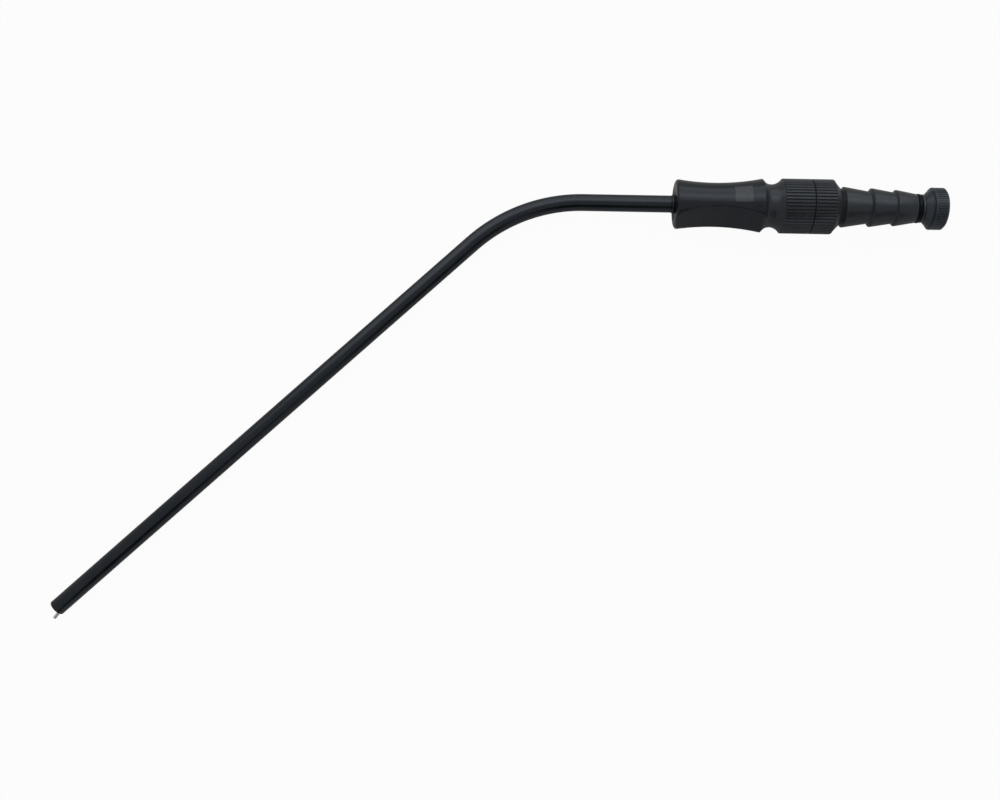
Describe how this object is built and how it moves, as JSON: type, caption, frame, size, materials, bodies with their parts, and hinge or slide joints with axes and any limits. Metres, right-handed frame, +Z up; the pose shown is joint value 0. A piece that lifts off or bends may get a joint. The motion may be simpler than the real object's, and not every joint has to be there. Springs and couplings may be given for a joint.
{
  "type": "suction tube",
  "caption": "Angled metal suction tube with a waisted finger grip, a knurled collar, a barbed hose nozzle and a stylet wire with its knob pushed through the bore.",
  "frame": {"origin": "middle of the outer box in plan, on the surface that the part lies on", "axes": "+X along the handle towards the stylet's knob, +Y away from the side that the tube bends to, +Z up from the surface"},
  "size_m": [0.2104, 0.109, 0.0131],
  "materials": {
    "coated_tube": "satin",
    "coated_body": "satin",
    "seal_rubber": "satin",
    "bare_wire": "satin"
  },
  "bodies": {
    "root": {"suction_tube": "coated_tube", "handle": "coated_body", "hose_nozzle": "coated_body", "stylet_knob": "coated_body", "stylet_seal": "seal_rubber", "stylet_wire": "bare_wire"}
  },
  "joints": []
}
